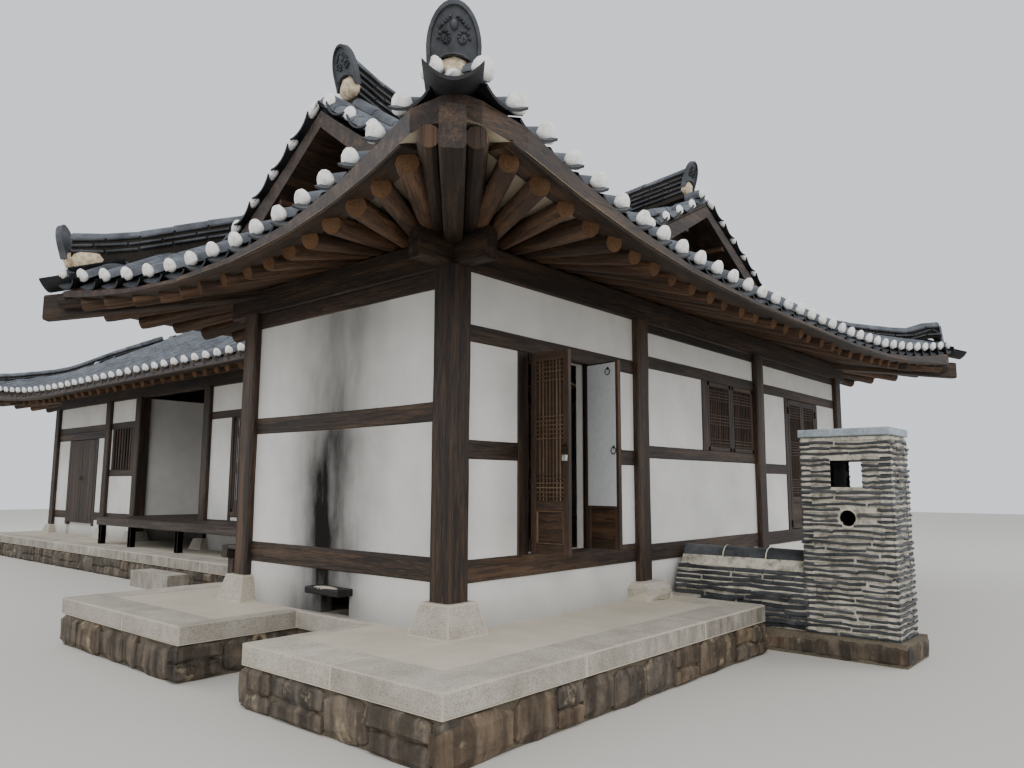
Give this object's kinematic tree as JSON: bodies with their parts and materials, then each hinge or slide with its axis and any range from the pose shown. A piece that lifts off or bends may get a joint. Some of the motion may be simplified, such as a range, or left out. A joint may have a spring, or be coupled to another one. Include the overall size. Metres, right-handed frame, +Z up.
{
  "type": "hanok house",
  "caption": "L-shaped timber house with plastered walls, tiled hip-and-gable roof, stone platform, firebox and tile chimney; its lattice and plank doors swing.",
  "frame": {"origin": "on the ground, directly below the outer corner of the near corner post", "axes": "+Z up; +X along the street wall towards the chimney; +Y along the end wall towards the courtyard"},
  "size_m": [10.828, 18.03, 5.64],
  "materials": {
    "timber": "oiled pine, weathered brown",
    "timber_dark": "dark weathered pine boards",
    "plaster": "trowelled lime plaster",
    "granite": "bush-hammered pale granite",
    "rubble": "rough field stones in clay mortar",
    "tile": "unglazed fired grey roof tile",
    "tile_stack": "stacked broken tiles in lime mortar",
    "floor": "clay floor under oiled paper",
    "paper": "mulberry paper on lattice",
    "iron": "forged iron rings and hinges",
    "mortar": "white lime mortar"
  },
  "bodies": {
    "root": {"corner_post": "timber", "left_post": "timber", "middle_post": "timber", "end_lower_beam": "timber", "end_middle_beam": "timber", "bay1_frame": "timber", "long_end_frame": "timber", "courtyard_frame": "timber", "rear_frame": "timber", "far_frame": "timber", "rafters_street": "timber", "rafters_end": "timber", "rafters_small_back": "timber", "rafters_long": "timber", "wall_plates": "timber", "bay2_window": "timber_dark", "porch_floor": "timber_dark", "veranda": "timber_dark", "end_wall": "plaster", "bay1_wall": "plaster", "bay2_wall": "plaster", "bay3_wall": "plaster", "room_wall": "plaster", "kitchen_wall": "plaster", "small_back_wall": "plaster", "porch_wall": "plaster", "rear_wall": "plaster", "far_wall": "plaster", "gable_small": "plaster", "gable_long_near": "plaster", "gable_long_far": "plaster", "granite_kerb": "granite", "courtyard_step": "granite", "stone_base": "rubble", "chimney_base": "rubble", "roof_small_street": "tile", "roof_small_back": "tile", "skirt_small": "tile", "roof_long_court": "tile", "roof_long_rear": "tile", "skirt_long_near": "tile", "skirt_long_far": "tile", "ridge_small": "tile", "ridge_long": "tile", "corner_ridge_near": "tile", "corner_ridge_left": "tile", "corner_ridge_right": "tile", "rake_ridge_court": "tile", "firebox_lintel": "tile_stack", "chimney_tower": "tile_stack", "chimney_cap": "tile_stack", "flue": "tile_stack", "inner_floor": "floor"},
    "door_left": {"door_left": "timber"},
    "door_right": {"door_right": "timber"},
    "side_door_left": {"side_door_left": "timber"},
    "side_door_right": {"side_door_right": "timber"},
    "kitchen_door_left": {"kitchen_door_left": "timber_dark"},
    "kitchen_door_right": {"kitchen_door_right": "timber_dark"}
  },
  "joints": [
    {"name": "door_left_swing", "type": "hinge", "parent": "root", "child": "door_left", "pos_m": [0.909, 0.044, 1.67], "axis": [0, 0, -1], "range_deg": [-93, 57]},
    {"name": "door_right_swing", "type": "hinge", "parent": "root", "child": "door_right", "pos_m": [1.7, 0.044, 1.67], "axis": [0, 0, 1], "range_deg": [-80, 70]},
    {"name": "side_door_left_swing", "type": "hinge", "parent": "root", "child": "side_door_left", "pos_m": [6.18, 0.044, 1.71], "axis": [0, 0, -1], "range_deg": [0, 150]},
    {"name": "side_door_right_swing", "type": "hinge", "parent": "root", "child": "side_door_right", "pos_m": [7.14, 0.044, 1.71], "axis": [0, 0, 1], "range_deg": [0, 150]},
    {"name": "kitchen_door_left_swing", "type": "hinge", "parent": "root", "child": "kitchen_door_left", "pos_m": [2.494, 13.7, 1.47], "axis": [0, 0, -1], "range_deg": [0, 100]},
    {"name": "kitchen_door_right_swing", "type": "hinge", "parent": "root", "child": "kitchen_door_right", "pos_m": [2.494, 12.5, 1.47], "axis": [0, 0, 1], "range_deg": [0, 100]}
  ]
}
